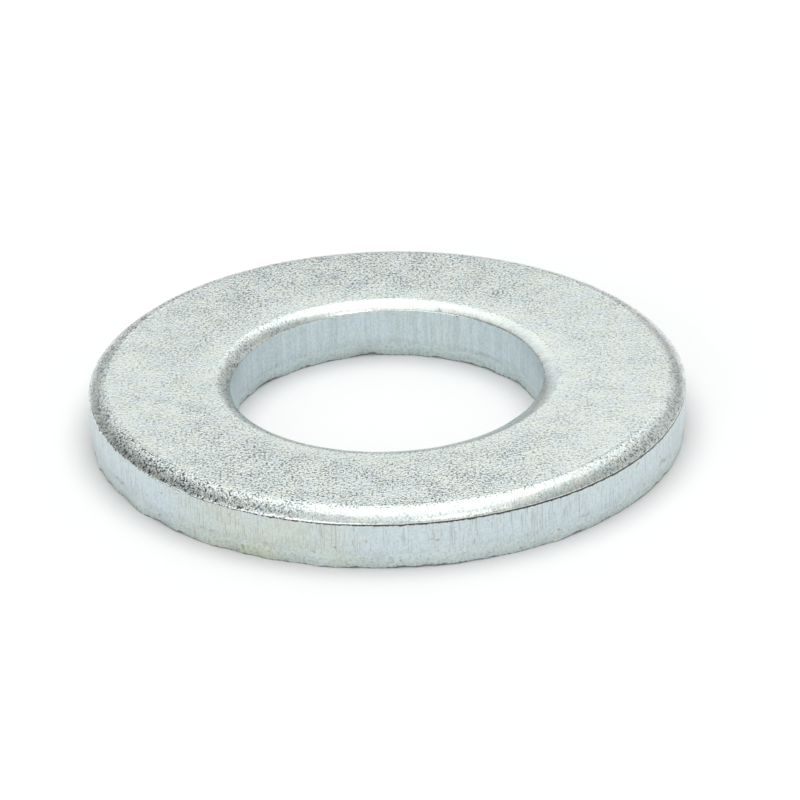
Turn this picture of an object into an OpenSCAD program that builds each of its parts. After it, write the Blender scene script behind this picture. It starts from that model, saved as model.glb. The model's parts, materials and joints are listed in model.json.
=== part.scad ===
// Flat washer for an M10 bolt, stamped from 2 mm steel sheet and zinc plated.
// A washer is one piece of metal, so the model has a single node.
// The origin is the centre of the hole on the sharp-edged face, and +Z points
// through the thickness to the rounded face.

/* [Washer] */
// Outside diameter
outer_d = 20; // [16:0.1:60]
// Diameter of the hole, which clears the bolt
hole_d = 10.5; // [3:0.1:16]
// Thickness, face to face
thickness = 2; // [1.4:0.1:6]

/* [Rounded edges, where the punch pulled the sheet in] */
// How far the rounding of the outer edge reaches in across the face
outer_round_w = 0.7; // [0.4:0.05:1.5]
// How far the rounding of the outer edge reaches down the rim
outer_round_h = 0.36; // [0.05:0.01:0.4]
// How far the rounding of the hole's edge reaches out across the face
hole_round_w = 0.56; // [0.35:0.01:1.2]
// How far the rounding of the hole's edge reaches down the hole
hole_round_h = 0.25; // [0.05:0.01:0.35]

/* [Torn bands, where the sheet broke away below the clean cut] */
// Height of the torn band around the rim
outer_torn_h = 0.8; // [0.2:0.05:0.95]
// How much the rim draws in over its torn band
outer_torn_in = 0.09; // [0.01:0.01:0.3]
// Height of the torn band around the hole
hole_torn_h = 0.7; // [0.2:0.05:0.95]
// How much the hole opens out over its torn band
hole_torn_out = 0.14; // [0.01:0.01:0.3]

/* [Smoothness] */
// Number of sides that stand for a full circle
circle_sides = 144; // [72:12:360]

/* [Hidden] */

$fn = circle_sides;
outer_r = outer_d / 2;
hole_r = hole_d / 2;
zinc = [0.80, 0.83, 0.82];
// How far the cutting shapes stand past the metal
spare = 1;

// Radius of the arc that leaves the face smoothly and drops h over a width w
function round_r(w, h) = (w * w + h * h) / (2 * h);

// The metal outside an edge's rounding, with the arc's start at the origin
// and the wall at x = w
module rounding_waste(w, h) {
    difference() {
        translate([0, -h])
            square([w + spare, h + spare]);
        translate([0, -round_r(w, h)])
            circle(r = round_r(w, h));
    }
}

// Half section with square upper edges: straight cut walls above, and torn
// bands below that slope away from the cut
module square_section() {
    polygon([
        [hole_r + hole_torn_out, 0],
        [outer_r - outer_torn_in, 0],
        [outer_r, outer_torn_h],
        [outer_r, thickness],
        [hole_r, thickness],
        [hole_r, hole_torn_h]
    ]);
}

// Half section with both upper edges rounded
module section() {
    difference() {
        square_section();
        translate([outer_r - outer_round_w, thickness])
            rounding_waste(outer_round_w, outer_round_h);
        translate([hole_r + hole_round_w, thickness])
            mirror([1, 0])
                rounding_waste(hole_round_w, hole_round_h);
    }
}

// The washer: the half section turned about the hole's axis
module washer() {
    color(zinc)
        rotate_extrude()
            section();
}

washer();
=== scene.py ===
"""Looks of a stamped, zinc-plated flat washer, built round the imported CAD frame.

Press tools leave four bands on each cut edge of a stamped washer. From the upper face
down they are the rounding where the punch drew the sheet in, the clean cut with its
score lines, the torn band where the sheet broke away, and a ragged sharp foot. The CAD
node holds the plain bands. The mesh made here has the same size and the same bands,
with the unevenness that real ones have, and stands for the CAD node.
"""

import json
import math

import bpy
import numpy as np
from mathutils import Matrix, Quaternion, Vector


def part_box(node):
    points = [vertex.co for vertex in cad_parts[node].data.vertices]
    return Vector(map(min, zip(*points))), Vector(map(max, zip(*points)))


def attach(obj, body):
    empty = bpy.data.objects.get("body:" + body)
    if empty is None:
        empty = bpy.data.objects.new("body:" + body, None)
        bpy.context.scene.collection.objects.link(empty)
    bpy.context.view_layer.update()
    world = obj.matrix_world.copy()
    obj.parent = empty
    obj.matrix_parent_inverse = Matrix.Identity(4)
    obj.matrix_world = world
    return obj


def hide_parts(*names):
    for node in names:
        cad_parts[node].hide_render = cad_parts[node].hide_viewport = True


MM = 0.001

# The camera: how high it stands, how far off, its tilt and its lens
CAMERA_ELEVATION = math.radians(27.06)
CAMERA_DISTANCE = 0.1927
CAMERA_TILT = math.radians(-1.34)
CAMERA_LENS_MM = 258.4
CAMERA_SENSOR_MM = 36.0
CAMERA_ASIDE = 0.00042

# Sizes of the bands that the record has no mount for, in millimetres
OUTER_ROUND_W = 0.70
OUTER_ROUND_H = 0.36
OUTER_TORN_H = 0.80
OUTER_TORN_IN = 0.09
HOLE_ROUND_W = 0.56
HOLE_TORN_OUT = 0.14

# The small corner between a rounding and its wall: its radius, and its tilt at the wall
CORNER_R = 0.10
CORNER_TILT = math.radians(85)

# How uneven the stamped edges are, in millimetres
FOOT_WAVE = 0.05
FOOT_JAG = 0.045
BORE_FOOT_JAG = 0.065
FOOT_LIFT = 0.02
TEAR_LINE_WAVE = 0.10
TEAR_LINE_JAG = 0.05
LEAN_WAVE = 0.04
LEAN_JAG = 0.025
TORN_ROUGH = 0.007
TEAR_DEPTH = 0.015
FINE_SCORE = 0.0012
DEEP_SCORE = 0.006
ROUNDING_JAG = 0.008
DENT_DEPTH = 0.004

# How much a rounding's width and height vary, and how high a tear is in its band, as shares
ROUND_W_VARIES = 0.04
ROUND_H_VARIES = 0.05
TEAR_HEIGHT = 0.05
# How near the seam or the foot a mark starts, in millimetres
NEAR = 0.2

# The mesh: columns round the washer, and rows in each band
COLUMNS = 1024
TURN = 2 * math.pi * np.arange(COLUMNS) / COLUMNS
TORN_ROWS = 11
CUT_ROWS = 6
ARC_ROWS = 14
FACE_ROWS = 10
CORNER_STEPS = (0, 0.25, 0.5, 0.75)
# How far from a crisp corner the next row lies, as a share of the band
CRISP = 0.02
# The flat strips that the mesh is laid out on: their empty margin, and the lower face's
# steps across, which get less room than their size
STRIP_MARGIN = 0.01
LOWER_FACE_STEPS = 4
LOWER_FACE_ROOM = 0.3
SEED = 10
MARKS = ("wall", "torn", "rounding", "seam", "foot", "pit", "bore")

# Colours of the plated faces
ZINC_COOL = (0.84, 0.92, 0.895, 1.0)
ZINC_WARM = (0.90, 0.95, 0.87, 1.0)
# Brighter tops of the pebbles: partly grain, partly painted glints
ZINC_PAINTED_GLINT = (1.0, 1.0, 0.98, 1.0)
# Dull flecks and dark pits; toward the roundings' ends they are denser, and there they also paint
# shade
ZINC_DULL = (0.36, 0.41, 0.41, 1.0)
PIT_DARK = (0.11, 0.13, 0.16, 1.0)

# Colours of the walls
CUT_DARK = (0.57, 0.655, 0.68, 1.0)
CUT_PALE = (0.66, 0.75, 0.785, 1.0)
# Grooves of the score lines: partly dirt, partly painted shade
SCORE_DIRT_AND_SHADE = (0.46, 0.51, 0.50, 1.0)
TORN_DARK = (0.54, 0.61, 0.595, 1.0)
TORN_PALE = (0.71, 0.805, 0.795, 1.0)
# Painted shadow in the crease under each rounding
SEAM_SHADOW = (0.07, 0.055, 0.05, 1.0)
SEAM_FLAKE = (0.92, 0.92, 0.80, 1.0)
FOOT_DARK = (0.16, 0.13, 0.10, 1.0)
TEAR_BROWN = (0.20, 0.18, 0.14, 1.0)

# Stains, the painted shade in the bore, and where along X the warm stains lie on the rim and in the
# bore, in millimetres
SPECK_BROWN = (0.42, 0.34, 0.24, 1.0)
WARM_DYE = (1.0, 0.955, 0.85, 1.0)
# Painted shade inside the hole: the bore's walls darker and a little cooler
BORE_SHADE = (0.93, 0.955, 0.96, 1.0)
STREAK_DYE = (0.89, 0.90, 0.90, 1.0)
RIM_PATCH = -4.0
BORE_PATCH = 0.6

# Where along X the roundings are smoothest, in millimetres. Their colour also has the fewest dull
# flecks and dark pits there, a painted highlight, and the most toward the ends, painted shade
SMOOTH_MIDDLE = 2.0
# Heights of the plating's fine relief, in millimetres
PEBBLE_BUMP = 0.026
PIT_BUMP = 0.018
SCORE_BUMP = 0.003
CRUMB_BUMP = 0.007
# How rough the gloss is on the faces and on the walls
FACE_ROUGHNESS = 0.22
WALL_ROUGHNESS = 0.36

# The floor, and the light that only the floor takes
FLOOR_WIDTH = 6.0
FLOOR_GREY = (0.56, 0.56, 0.56, 1.0)
FLOOR_ROUGHNESS = 0.9
FLOOR_SPECULAR = 0.2
CEILING_STRENGTH = 3.1
CEILING_SPREAD = math.radians(70)

# How bright the room is low down, high up and at the horizon, and the shares of that
# which are left straight above, behind the camera and at the sides
ROOM_WHITE = (0.97, 0.99, 1.0, 1.0)
ROOM_LOW = 0.62
ROOM_LOW_AHEAD = 0.36
ROOM_HIGH = 1.09
ROOM_HORIZON = 0.94
ROOM_TOP_SHARE = 0.91
ROOM_BEHIND_SHARE = 0.60
ROOM_RIGHT_SHARE = 0.35
ROOM_LEFT_SHARE = 0.26

# Softboxes: name, direction from the washer, distance, size and brightness
SOFTBOXES = (
    ("softbox_above", (-0.03, 0.31, 1.0), 0.15, (0.14, 0.14), 0.50),
    ("softbox_right", (0.30, -0.42, 0.85), 0.42, (0.10, 0.10), 1.4),
    ("softbox_front", (-0.50, -0.75, 0.42), 0.50, (0.42, 0.18), 1.7),
)


# ------------------------------------------------------------------ sizes

def washer_sizes(record):
    """Radii and heights in millimetres, from the CAD node's box and the hole's mount."""
    low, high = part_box("washer")
    hole = next(m for m in record["mounts"] if m["name"] == "hole")
    half_cut = hole["dims"]["length_mm"] / 2
    cut_middle = hole["pos_m"][2] / MM
    thickness = (high.z - low.z) / MM
    return {
        "outer_r": (high.x - low.x) / 2 / MM,
        "hole_r": hole["dims"]["r_mm"],
        "thickness": thickness,
        "hole_torn_h": cut_middle - half_cut,
        "hole_round_h": thickness - cut_middle - half_cut,
    }


# ------------------------------------------------------------------ unevenness

def smooth(t):
    """t from 0 to 1, eased at both ends."""
    return t * t * (3 - 2 * t)


def toward(degrees):
    """Values from -1 to 1 round a circle, 1 at that angle from +X and -1 opposite."""
    return np.cos(TURN - math.radians(degrees))


def ring_noise(rng, radius, grain):
    """Smooth values from -1 to 1 round a circle, one a column, with features grain mm long."""
    cells = max(3, round(2 * math.pi * radius / grain))
    values = rng.uniform(-1, 1, cells)
    at = np.arange(COLUMNS) * cells / COLUMNS
    cell = at.astype(int)
    t = smooth(at - cell)
    return values[cell % cells] * (1 - t) + values[(cell + 1) % cells] * t


def band_noise(rng, radius, grain, layers, rows):
    """Smooth values from -1 to 1 over a band, for rows that run from 0 to 1 up it."""
    rings = np.array([ring_noise(rng, radius, grain) for _ in range(layers + 1)])
    at = rows * layers
    layer = np.minimum(at.astype(int), layers - 1)
    t = smooth(at - layer)[:, None]
    return rings[layer] * (1 - t) + rings[layer + 1] * t


# ------------------------------------------------------------------ bands

def rows_from_corner(count):
    """Row positions from 0 up, with a row close to each corner to keep it crisp."""
    inner = np.linspace(0, 1, count + 2)[1:-1]
    return np.concatenate([[0.0, CRISP], inner, [1 - CRISP]])


def band(r, z, **marks):
    """One band of the section: rings of radii and heights in mm, and the marks it carries."""
    shape = np.broadcast(r, z).shape
    made = {"r": np.broadcast_to(r, shape), "z": np.broadcast_to(z, shape)}
    for name in MARKS:
        made[name] = np.broadcast_to(marks.get(name, 0.0), shape)
    return made


def stack(bands):
    """The bands joined into one, in order."""
    return {key: np.vstack([b[key] for b in bands]) for key in bands[0]}


def tear_marks(rng, radius, t, bore):
    """How much of a tear each point of a torn band has, from 0 to 1. The bore has fewer."""
    patches = smooth(np.clip(ring_noise(rng, radius, grain=1.1) * 2.0 - 1.0, 0, 1))
    broken = np.clip(ring_noise(rng, radius, grain=0.13) + 0.6, 0, 1)
    strength = patches * broken * (1 - 0.6 * bore)
    middle = 0.80 + 0.10 * ring_noise(rng, radius, grain=0.25)
    return strength * np.exp(-((t - middle) / TEAR_HEIGHT) ** 2)


def torn_band(rng, radius, outward, lean, foot, tear_line, bore):
    """The torn band of a wall: rough, leaning away from the cut by lean at its foot."""
    rows = rows_from_corner(TORN_ROWS)
    t = rows[:, None]
    rough = band_noise(rng, radius, grain=0.40, layers=3, rows=rows)
    rough = rough + 0.8 * band_noise(rng, radius, grain=0.17, layers=6, rows=rows)
    edge = LEAN_WAVE * ring_noise(rng, radius, grain=1.1)
    edge = edge + LEAN_JAG * ring_noise(rng, radius, grain=0.34)
    away = (lean + edge) * (1 - t) ** 1.4 + TORN_ROUGH * rough * np.sqrt(1 - t)
    pit = tear_marks(rng, radius, t, bore)
    away = np.maximum(away + TEAR_DEPTH * pit, 0)
    z = foot + (tear_line - foot) * t
    near_foot = np.clip(1 - (z - foot) / NEAR, 0, 1)
    torn = smooth(np.clip((1 - t) / 0.6, 0, 1))
    return band(radius - outward * away, z, wall=1.0, torn=torn, pit=pit, foot=near_foot, bore=bore)


def cut_band(rng, radius, outward, low, high, seam, bore):
    """The clean cut of a wall, with score lines running up it. They are shallower in the bore."""
    rows = rows_from_corner(CUT_ROWS)
    t = rows[:, None]
    fine = FINE_SCORE * ring_noise(rng, radius, grain=0.13)
    deep = DEEP_SCORE * np.minimum(ring_noise(rng, radius, grain=0.22) + 0.6, 0)
    scores = (fine + deep) * np.sqrt(np.clip(4 * t, 0, 1)) * (1 - 0.5 * bore)
    z = low + (high - low) * t
    near_seam = seam * np.clip(1 - (high - z) / NEAR, 0, 1)
    return band(radius + outward * np.minimum(scores, 0), z, wall=1.0, seam=near_seam, bore=bore)


def rounded_band(radius, outward, width, height, thickness, corner, seam):
    """The drawn-in edge above a wall: a small corner, then an arc that ends along the face."""
    steep = 2 * np.arctan(height / width)
    turned = np.array(CORNER_STEPS)[:, None]
    tilt = CORNER_TILT + (steep - CORNER_TILT) * turned
    corner_r = radius - outward * corner * (math.sin(CORNER_TILT) - np.sin(tilt))
    corner_z = thickness - height + corner * (np.cos(tilt) - math.cos(CORNER_TILT))
    width = width - corner * (math.sin(CORNER_TILT) - np.sin(steep))
    height = height - corner * (np.cos(steep) - math.cos(CORNER_TILT))
    arc_r = (width ** 2 + height ** 2) / (2 * height)
    left = np.linspace(1, 0, ARC_ROWS)[:, None]
    angle = np.arcsin(width / arc_r) * left
    start = radius - outward * corner * (math.sin(CORNER_TILT) - np.sin(steep))
    arc_z = thickness - arc_r * (1 - np.cos(angle))
    return stack([
        band(corner_r, corner_z, rounding=1.0, seam=(turned == 0) * seam),
        band(start + outward * (arc_r * np.sin(angle) - width), arc_z, rounding=left),
    ])


def wall(rng, thickness, radius, outward, round_w, round_h, torn_h, lean, corner, seam):
    """The three bands of one wall, from its foot up to the upper face."""
    bore = 1.0 if outward < 0 else 0.0
    jag = BORE_FOOT_JAG if bore else FOOT_JAG
    foot = FOOT_WAVE * ring_noise(rng, radius, grain=1.2) + FOOT_LIFT
    foot = foot + jag * ring_noise(rng, radius, grain=0.38)
    foot = np.maximum(foot, 0)
    tear_line = torn_h + TEAR_LINE_WAVE * ring_noise(rng, radius, grain=2.6)
    tear_line = tear_line + TEAR_LINE_JAG * ring_noise(rng, radius, grain=0.5)
    width = round_w * (1 + ROUND_W_VARIES * ring_noise(rng, radius, grain=5.0))
    height = round_h * (1 + ROUND_H_VARIES * ring_noise(rng, radius, grain=6.0))
    height = height + ROUNDING_JAG * ring_noise(rng, radius, grain=0.3)
    return stack([
        torn_band(rng, radius, outward, lean, foot, tear_line, bore),
        cut_band(rng, radius, outward, tear_line, thickness - height, seam, bore),
        rounded_band(radius, outward, width, height, thickness, corner, seam),
    ])


def upper_face(rng, start_r, end_r, thickness):
    """The upper face between two rings, with shallow dents from tumbling."""
    rows = np.linspace(0, 1, FACE_ROWS + 2)[1:-1]
    t = rows[:, None]
    dents = DENT_DEPTH * band_noise(rng, radius=8.0, grain=1.2, layers=3, rows=rows)
    dents = dents * np.sin(math.pi * t)
    return band(start_r + (end_r - start_r) * t, thickness - np.abs(dents))


def lower_face(start_r, end_r):
    """The flat lower face between two feet, which it leaves within a thin ring each."""
    t = np.array([CRISP, 0.5, 1 - CRISP])[:, None]
    r = start_r + (end_r - start_r) * t
    return band(r, np.zeros_like(r))


def washer_bands(sizes):
    """The whole section as a closed loop of rings, from the rim's foot up and round.

    Real edges differ from side to side, and so does the painted shadow under the roundings:
    toward() points at the side where each is greatest or least.
    """
    rng = np.random.default_rng(SEED)
    rim_corner = CORNER_R * (0.55 + 0.45 * toward(225))
    # How strong the painted shadow line under the rounding is, round the rim and round the hole
    rim_seam_shadow = 0.77 + 0.33 * toward(-35)
    outer = wall(rng, sizes["thickness"], sizes["outer_r"], 1, OUTER_ROUND_W, OUTER_ROUND_H,
                 OUTER_TORN_H, OUTER_TORN_IN, rim_corner, rim_seam_shadow)
    hole_round_h = sizes["hole_round_h"] * (1 - 0.36 * toward(10))
    hole_seam_shadow = 0.60 + 0.12 * toward(70)
    hole_lean = HOLE_TORN_OUT * (1 - 0.85 * toward(0) ** 2)
    hole = wall(rng, sizes["thickness"], sizes["hole_r"], -1, HOLE_ROUND_W, hole_round_h,
                sizes["hole_torn_h"], hole_lean, 0.4 * CORNER_R, hole_seam_shadow)
    upper = upper_face(rng, outer["r"][-1], hole["r"][-1], sizes["thickness"])
    lower = lower_face(hole["r"][0], outer["r"][0])
    downward = {key: rings[::-1] for key, rings in hole.items()}
    return stack([outer, upper, downward, lower])


# ------------------------------------------------------------------ mesh

def strips(bands):
    """Where every corner of every face lies on two flat strips, one for each half turn."""
    r = bands["r"].mean(1)
    z = bands["z"].mean(1)
    steps = np.hypot(np.roll(r, -1) - r, np.roll(z, -1) - z)
    steps[-LOWER_FACE_STEPS:] *= LOWER_FACE_ROOM
    along = np.append(0, np.cumsum(steps)) / steps.sum()
    half = COLUMNS // 2
    room = 1 - 2 * STRIP_MARGIN
    row, column = np.meshgrid(np.arange(len(r)), np.arange(COLUMNS), indexing="ij")
    corners = []
    for row_step, column_step in ((0, 0), (0, 1), (1, 1), (1, 0)):
        u = STRIP_MARGIN + room * (column % half + column_step) / half
        v = (column // half + STRIP_MARGIN + room * along[row + row_step]) / 2
        corners.append(np.stack([u, v], -1))
    return np.stack(corners, -2)


def ring_mesh(name, bands):
    """A closed mesh from a closed loop of rings, with the bands' marks as attributes."""
    rows = len(bands["r"])
    points = np.stack([bands["r"] * np.cos(TURN), bands["r"] * np.sin(TURN), bands["z"]], -1)
    row, column = np.meshgrid(np.arange(rows), np.arange(COLUMNS), indexing="ij")
    next_row = (row + 1) % rows
    next_column = (column + 1) % COLUMNS
    corners = [(row, column), (row, next_column), (next_row, next_column), (next_row, column)]
    faces = np.stack([r * COLUMNS + c for r, c in corners], -1).reshape(-1, 4)
    mesh = bpy.data.meshes.new(name)
    mesh.from_pydata((points.reshape(-1, 3) * MM).tolist(), [], faces.tolist())
    for mark in MARKS:
        attribute = mesh.attributes.new(mark, "FLOAT", "POINT")
        attribute.data.foreach_set("value", bands[mark].reshape(-1).astype(np.float32))
    layout = mesh.uv_layers.new(name="OFBake")
    layout.data.foreach_set("uv", strips(bands).reshape(-1).astype(np.float32))
    mesh.polygons.foreach_set("use_smooth", [True] * len(faces))
    mesh.update()
    piece = bpy.data.objects.new(name, mesh)
    bpy.context.scene.collection.objects.link(piece)
    return piece


# ------------------------------------------------------------------ shader nodes

class Nodes:
    """Adds shader nodes to one tree and wires them, one short call a node."""

    def __init__(self, tree):
        self.tree = tree

    def add(self, kind, inputs, **settings):
        node = self.tree.nodes.new("ShaderNode" + kind)
        for name, value in settings.items():
            setattr(node, name, value)
        for key, value in inputs.items():
            if isinstance(value, bpy.types.NodeSocket):
                self.tree.links.new(value, node.inputs[key])
            else:
                node.inputs[key].default_value = value
        return node

    def math(self, operation, *values):
        return self.add("Math", dict(enumerate(values)), operation=operation).outputs[0]

    def scaled(self, vector, scale):
        node = self.add("VectorMath", {0: vector, 1: scale}, operation="MULTIPLY")
        return node.outputs[0]

    def noise(self, vector, scale, detail=2.0, roughness=0.5):
        inputs = {"Vector": vector, "Scale": scale, "Detail": detail, "Roughness": roughness}
        return self.add("TexNoise", inputs).outputs[0]

    def ease(self, value, low, high, to_low=0.0, to_high=1.0):
        """value from low to high becomes to_low to to_high, smoothly."""
        inputs = {"Value": value, "From Min": low, "From Max": high,
                  "To Min": to_low, "To Max": to_high}
        return self.add("MapRange", inputs, interpolation_type="SMOOTHSTEP").outputs[0]

    def blend(self, share, one, other):
        """Colour one where share is 0 and other where it is 1."""
        inputs = {0: share, 6: one, 7: other}
        return self.add("Mix", inputs, data_type="RGBA").outputs[2]

    def stain(self, share, colour, dye):
        """The colour itself where share is 0, and dyed by dye where it is 1."""
        inputs = {0: share, 6: colour, 7: dye}
        return self.add("Mix", inputs, data_type="RGBA", blend_type="MULTIPLY").outputs[2]

    def mix(self, share, one, other):
        """Number one where share is 0 and other where it is 1."""
        return self.add("Mix", {0: share, 2: one, 3: other}).outputs[0]

    def mark(self, name):
        return self.add("Attribute", {}, attribute_name=name).outputs["Fac"]


# ------------------------------------------------------------------ zinc plating

def grain_left(nodes, place, side):
    """The share of a face's grain that shows: less by the hole, and to the left and right.

    On the roundings only the far left and right ends show less.
    """
    from_axis = nodes.scaled(place, (1.0, 1.0, 0.0))
    from_axis = nodes.add("VectorMath", {0: from_axis}, operation="LENGTH").outputs["Value"]
    by_hole = nodes.ease(from_axis, 5.9, 7.0, 0.45, 1.0)
    at_left = nodes.ease(side, -4.5, -8.5, 1.0, 0.45)
    at_right = nodes.ease(side, 2.0, 7.5, 1.0, 0.42)
    at_sides = nodes.math("MULTIPLY", at_left, at_right)
    left_end = nodes.ease(side, -8.4, -9.8, 1.0, 0.5)
    right_end = nodes.ease(side, 7.4, 9.3, 1.0, 0.35)
    at_ends = nodes.math("MULTIPLY", left_end, right_end)
    at_sides = nodes.mix(nodes.ease(nodes.mark("rounding"), 0.0, 0.15), at_sides, at_ends)
    return nodes.math("MULTIPLY", by_hole, at_sides)


def face_finish(nodes, place):
    """Colour and height, in mm, of a tumbled and plated face: pebbles with darker pits.

    The roundings are smoother than the face, except to the left and right. Their colour is partly
    painted light: clean in the middle, a painted highlight, and duller and more pitted toward the
    ends, painted shade over real pitting.
    """
    side = nodes.add("SeparateXYZ", {0: place}).outputs["X"]
    off_middle = nodes.math("ABSOLUTE", nodes.math("SUBTRACT", side, SMOOTH_MIDDLE))
    grain = grain_left(nodes, place, side)
    rounding = nodes.mark("rounding")
    pebbles = nodes.noise(place, scale=8.5, detail=3.0, roughness=0.72)
    pits = nodes.noise(place, scale=12.0, detail=2.0, roughness=0.6)
    drift = nodes.noise(place, scale=1.1, detail=3.0, roughness=0.65)

    hue = nodes.ease(nodes.noise(place, scale=1.8, detail=3.0, roughness=0.6), 0.38, 0.62)
    colour = nodes.blend(hue, ZINC_COOL, ZINC_WARM)
    level = nodes.math("MULTIPLY_ADD", drift, 0.16, nodes.math("SUBTRACT", pebbles, 0.08))
    # The pebbles' high tops get a brighter colour: partly grain, partly painted glints
    colour = nodes.blend(nodes.ease(level, 0.54, 0.68), colour, ZINC_PAINTED_GLINT)
    # On the roundings, dull flecks are fewest in the middle and most toward the ends: partly real
    # wear, partly painted highlight and painted shade
    edge_bumps_and_shade = nodes.ease(off_middle, 3.0, 7.5, 0.32, 1.15)
    worn_and_shaded = nodes.mix(nodes.ease(rounding, 0.05, 0.45), 1.0, edge_bumps_and_shade)
    dull = nodes.math("MULTIPLY", nodes.ease(level, 0.48, 0.34, 0.0, 0.65), worn_and_shaded)
    colour = nodes.blend(dull, colour, ZINC_DULL)

    deep = nodes.math("MULTIPLY_ADD", drift, 0.20, nodes.math("SUBTRACT", pits, 0.10))
    # Dark pits likewise: few in the middle of the roundings and many toward their ends, partly real
    # pitting, partly painted shade
    edge_pits_and_shade = nodes.ease(off_middle, 3.5, 9.0, 0.3, 1.9)
    pitted_and_shaded = nodes.mix(nodes.ease(rounding, 0.05, 0.40), 1.0, edge_pits_and_shade)
    pitted_and_shaded = nodes.math("MULTIPLY", grain, pitted_and_shaded)
    hollow_and_shade = nodes.math("MULTIPLY", nodes.ease(deep, 0.48, 0.36), pitted_and_shaded)
    colour = nodes.blend(hollow_and_shade, colour, PIT_DARK)
    height = nodes.math("MULTIPLY", pebbles, PEBBLE_BUMP)
    height = nodes.math("MULTIPLY_ADD", pits, PIT_BUMP, height)
    return colour, nodes.math("MULTIPLY", nodes.math("MULTIPLY", height, worn_and_shaded), grain)


def cut_finish(nodes, place):
    """Colour and height, in mm, of a clean cut: fine score lines, dense only in places.

    The bore also has wider, duller streaks. The score lines are darker in their grooves: partly
    dirt, partly painted shade.
    """
    bore = nodes.mark("bore")
    up_wall = nodes.scaled(place, (1.0, 1.0, 0.06))
    scores = nodes.noise(up_wall, scale=22.0, detail=2.0, roughness=0.7)
    in_places = nodes.scaled(place, (1.0, 1.0, 0.6))
    density = nodes.noise(in_places, scale=0.5, detail=2.0, roughness=0.6)
    level = nodes.math("MULTIPLY_ADD", density, -0.16, scores)
    # Darker in the grooves of the score lines: partly dirt, partly painted shade
    lines = nodes.ease(level, 0.40, 0.26)
    lines = nodes.math("MULTIPLY", lines, nodes.ease(bore, 0.0, 1.0, 0.9, 0.4))
    grit = nodes.ease(nodes.noise(place, scale=12.0, detail=2.0, roughness=0.7), 0.38, 0.60)
    colour = nodes.blend(grit, CUT_DARK, CUT_PALE)
    colour = nodes.blend(lines, colour, SCORE_DIRT_AND_SHADE)
    streaks = nodes.noise(up_wall, scale=4.5, detail=2.0, roughness=0.6)
    streaks = nodes.math("MULTIPLY", nodes.ease(streaks, 0.42, 0.56, 0.0, 0.8), bore)
    colour = nodes.stain(streaks, colour, STREAK_DYE)
    return colour, nodes.math("MULTIPLY", scores, SCORE_BUMP)


def torn_finish(nodes, place):
    """Colour and height, in mm, of a torn band: dull speckled metal with small pits."""
    crumbs = nodes.noise(place, scale=11.0, detail=3.0, roughness=0.7)
    colour = nodes.blend(nodes.ease(crumbs, 0.34, 0.56), TORN_DARK, TORN_PALE)
    return colour, nodes.math("MULTIPLY", crumbs, CRUMB_BUMP)


def torn_share(nodes, place):
    """0 on the face and the clean cuts and 1 on the torn bands, with a ragged border."""
    ragged = nodes.noise(place, scale=7.0, detail=2.0, roughness=0.6)
    ragged = nodes.math("SUBTRACT", ragged, 0.5)
    torn = nodes.math("MULTIPLY_ADD", ragged, 1.4, nodes.mark("torn"))
    return nodes.math("MULTIPLY", nodes.ease(torn, 0.35, 0.85), nodes.mark("wall"))


def stained(nodes, place, colour):
    """The colour with brown specks, a warm patch on the rim and the bore, painted shade in the
    bore, and dark tears.
    """
    bore = nodes.mark("bore")
    specks = nodes.ease(nodes.noise(place, scale=4.5, detail=0.0), 0.79, 0.84, 0.0, 0.6)
    colour = nodes.blend(specks, colour, SPECK_BROWN)
    side = nodes.add("SeparateXYZ", {0: place}).outputs["X"]
    patch_middle = nodes.mix(bore, RIM_PATCH, BORE_PATCH)
    off_patch = nodes.math("ABSOLUTE", nodes.math("SUBTRACT", side, patch_middle))
    warm = nodes.ease(nodes.noise(place, scale=0.6, detail=3.0, roughness=0.6), 0.36, 0.56)
    warm = nodes.math("MULTIPLY", warm, nodes.ease(off_patch, 1.0, 4.0, 1.0, 0.1))
    on_walls = nodes.math("MULTIPLY_ADD", bore, -0.65, nodes.mark("wall"))
    colour = nodes.stain(nodes.math("MULTIPLY", warm, on_walls), colour, WARM_DYE)
    # Painted shade inside the hole: the bore's walls darker and a little cooler
    colour = nodes.stain(bore, colour, BORE_SHADE)
    torn_open = nodes.math("MULTIPLY", nodes.mark("pit"), 0.75)
    return nodes.blend(torn_open, colour, TEAR_BROWN)


def edge_lines(nodes, place, colour):
    """The colour with a painted shadow line in the crease under the rounding, flaked in the bore,
    and dark lines at the foot.
    """
    tooth = nodes.noise(place, scale=8.0, detail=2.0, roughness=0.7)
    tooth = nodes.math("SUBTRACT", tooth, 0.5)
    # A toothed painted shadow line in the crease under the rounding; in the bore it breaks into
    # pale flakes
    seam = nodes.math("MULTIPLY_ADD", tooth, 0.6, nodes.mark("seam"))
    seam = nodes.ease(seam, 0.66, 0.77, 0.0, 0.95)
    flakes = nodes.ease(nodes.noise(place, scale=4.0, detail=1.0), 0.50, 0.56)
    flakes = nodes.math("MULTIPLY", flakes, nodes.mark("bore"))
    colour = nodes.blend(seam, colour, nodes.blend(flakes, SEAM_SHADOW, SEAM_FLAKE))
    foot = nodes.math("MULTIPLY_ADD", tooth, 1.0, nodes.mark("foot"))
    foot = nodes.ease(foot, 0.82, 1.00, 0.0, 0.8)
    return nodes.blend(foot, colour, FOOT_DARK)


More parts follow.
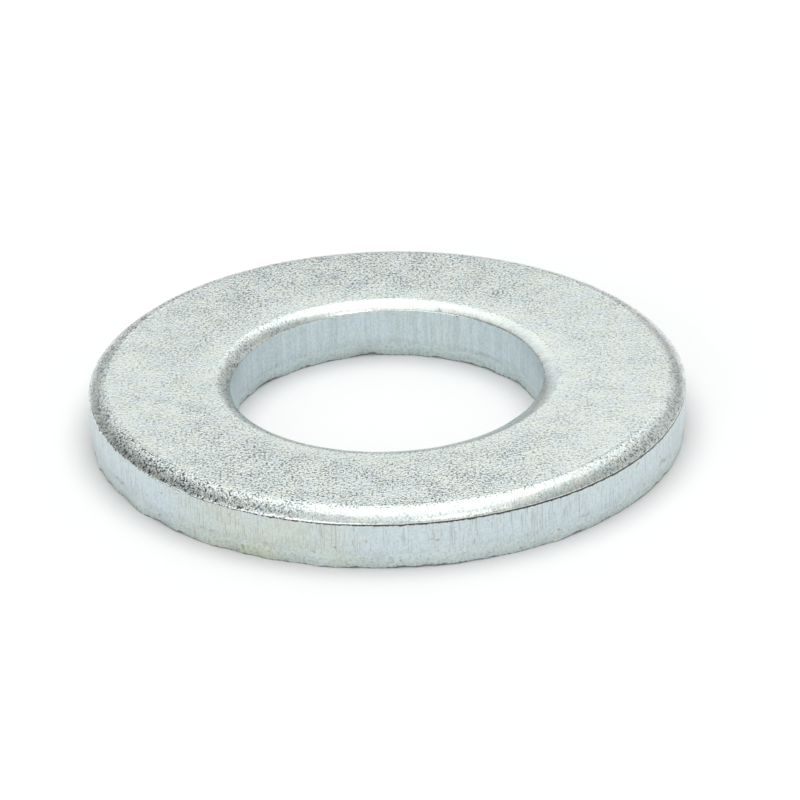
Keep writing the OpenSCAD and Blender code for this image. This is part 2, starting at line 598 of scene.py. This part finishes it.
def zinc_plating():
    """Bright zinc on tumbled steel: pebbled faces, scored cuts and speckled torn bands."""
    material = bpy.data.materials.new("zinc_plating")
    material.use_nodes = True
    nodes = Nodes(material.node_tree)
    shader = material.node_tree.nodes["Principled BSDF"]
    place = nodes.add("TexCoord", {}).outputs["Object"]
    place = nodes.scaled(place, (1 / MM, 1 / MM, 1 / MM))

    wall_share = nodes.mark("wall")
    torn = torn_share(nodes, place)
    colour, height = face_finish(nodes, place)
    cut_colour, cut_height = cut_finish(nodes, place)
    torn_colour, torn_height = torn_finish(nodes, place)
    colour = nodes.blend(wall_share, colour, nodes.blend(torn, cut_colour, torn_colour))
    height = nodes.mix(wall_share, height, nodes.mix(torn, cut_height, torn_height))
    colour = stained(nodes, place, colour)
    colour = edge_lines(nodes, place, colour)
    bump = nodes.add("Bump", {"Height": height, "Distance": MM, "Strength": 1.0})
    rough = nodes.ease(wall_share, 0.0, 1.0, FACE_ROUGHNESS, WALL_ROUGHNESS)

    nodes.tree.links.new(colour, shader.inputs["Base Color"])
    nodes.tree.links.new(rough, shader.inputs["Roughness"])
    nodes.tree.links.new(bump.outputs[0], shader.inputs["Normal"])
    shader.inputs["Metallic"].default_value = 1.0
    return material


# ------------------------------------------------------------------ stage

def pale_floor():
    """A wide plain floor at the washer's foot."""
    half = FLOOR_WIDTH / 2
    mesh = bpy.data.meshes.new("floor")
    corners = [(-half, -half, 0), (half, -half, 0), (half, half, 0), (-half, half, 0)]
    mesh.from_pydata(corners, [], [(0, 1, 2, 3)])
    floor = bpy.data.objects.new("floor", mesh)
    bpy.context.scene.collection.objects.link(floor)
    material = bpy.data.materials.new("pale_floor")
    material.use_nodes = True
    shader = material.node_tree.nodes["Principled BSDF"]
    shader.inputs["Base Color"].default_value = FLOOR_GREY
    shader.inputs["Roughness"].default_value = FLOOR_ROUGHNESS
    shader.inputs["Specular IOR Level"].default_value = FLOOR_SPECULAR
    mesh.materials.append(material)


def room_level(nodes, towards):
    """How bright the room is in each direction."""
    parts = nodes.add("SeparateXYZ", {0: towards})
    across = parts.outputs["X"]
    ahead = parts.outputs["Y"]
    height = parts.outputs["Z"]
    low_down = nodes.ease(ahead, 0.55, 0.85, ROOM_LOW, ROOM_LOW_AHEAD)
    level = nodes.ease(height, 0.21, 0.53, low_down, ROOM_HIGH)
    level = nodes.math("MULTIPLY", level, nodes.ease(height, 0.72, 0.95, 1.0, ROOM_TOP_SHARE))

    shade = nodes.ease(ahead, -0.75, -0.15, ROOM_BEHIND_SHARE, 1.0)
    at_right = nodes.ease(across, 0.10, 0.90, 1.0, ROOM_RIGHT_SHARE)
    shade = nodes.math("MULTIPLY", shade, at_right)
    shade = nodes.mix(nodes.ease(height, 0.30, 0.50), 1.0, shade)

    beside = nodes.ease(ahead, 0.45, 0.80, 1.0, 0.30)
    beside = nodes.math("MULTIPLY", beside, nodes.ease(ahead, -0.45, -0.05, 0.20, 1.0))
    at_left = nodes.ease(across, 0.0, -0.46, 1.0, ROOM_LEFT_SHARE)
    at_left = nodes.mix(beside, 1.0, at_left)

    level = nodes.math("MULTIPLY", nodes.math("MULTIPLY", level, shade), at_left)
    return nodes.math("MAXIMUM", level, nodes.ease(height, 0.02, 0.14, ROOM_HORIZON, 0.0))


def room_light():
    """The light of a pale room: bright high up and at the horizon, dim behind and at the sides."""
    world = bpy.data.worlds.new("room")
    bpy.context.scene.world = world
    world.use_nodes = True
    nodes = Nodes(world.node_tree)
    background = world.node_tree.nodes["Background"]
    towards = nodes.add("TexCoord", {}).outputs["Generated"]
    nodes.tree.links.new(room_level(nodes, towards), background.inputs["Strength"])
    background.inputs["Color"].default_value = ROOM_WHITE


def soft_light(name, towards, distance, size, brightness):
    """A square-cornered softbox that faces the washer, as bright as brightness."""
    light = bpy.data.lights.new(name, "AREA")
    light.shape = "RECTANGLE"
    light.size, light.size_y = size
    light.energy = brightness * math.pi * size[0] * size[1]
    lamp = bpy.data.objects.new(name, light)
    bpy.context.scene.collection.objects.link(lamp)
    lamp.location = Vector(towards).normalized() * distance
    lamp.rotation_euler = lamp.location.to_track_quat("Z", "Y").to_euler()


def floor_light():
    """Even light from the whole ceiling, which only the floor takes."""
    light = bpy.data.lights.new("ceiling", "SUN")
    light.energy = CEILING_STRENGTH
    light.angle = CEILING_SPREAD
    lamp = bpy.data.objects.new("ceiling", light)
    bpy.context.scene.collection.objects.link(lamp)
    lamp.visible_glossy = False


def lights():
    """The ceiling's light on the floor, and the softboxes."""
    floor_light()
    for box in SOFTBOXES:
        soft_light(*box)


# ------------------------------------------------------------------ camera

def camera(sizes):
    """The photograph's view: along +Y from 27 degrees up, through a long lens."""
    data = bpy.data.cameras.new("camera")
    data.lens = CAMERA_LENS_MM
    data.sensor_width = CAMERA_SENSOR_MM
    data.clip_start = 0.01
    data.clip_end = 20.0
    seen_from = bpy.data.objects.new("camera", data)
    bpy.context.scene.collection.objects.link(seen_from)
    back = Vector((0, -math.cos(CAMERA_ELEVATION), math.sin(CAMERA_ELEVATION)))
    aim = Vector((CAMERA_ASIDE, 0, sizes["thickness"] / 2 * MM))
    seen_from.location = aim + back * CAMERA_DISTANCE
    level = back.to_track_quat("Z", "Y")
    tilt = Quaternion((0, 0, 1), CAMERA_TILT)
    seen_from.rotation_mode = "QUATERNION"
    seen_from.rotation_quaternion = level @ tilt
    bpy.context.scene.camera = seen_from


# ------------------------------------------------------------------ scene

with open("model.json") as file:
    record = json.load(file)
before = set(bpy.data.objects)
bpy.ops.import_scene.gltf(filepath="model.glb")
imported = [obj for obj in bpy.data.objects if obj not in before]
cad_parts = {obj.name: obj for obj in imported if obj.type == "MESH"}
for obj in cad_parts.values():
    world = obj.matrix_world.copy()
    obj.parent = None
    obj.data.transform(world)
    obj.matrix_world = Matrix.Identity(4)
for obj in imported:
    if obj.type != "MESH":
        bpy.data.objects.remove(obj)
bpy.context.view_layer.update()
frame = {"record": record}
sizes = washer_sizes(frame["record"])

camera(sizes)
room_light()
lights()
pale_floor()

washer = ring_mesh("stamped_washer", washer_bands(sizes))
washer.data.materials.append(zinc_plating())
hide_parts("washer")
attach(washer, "root")

bpy.context.scene.view_settings.view_transform = "Standard"
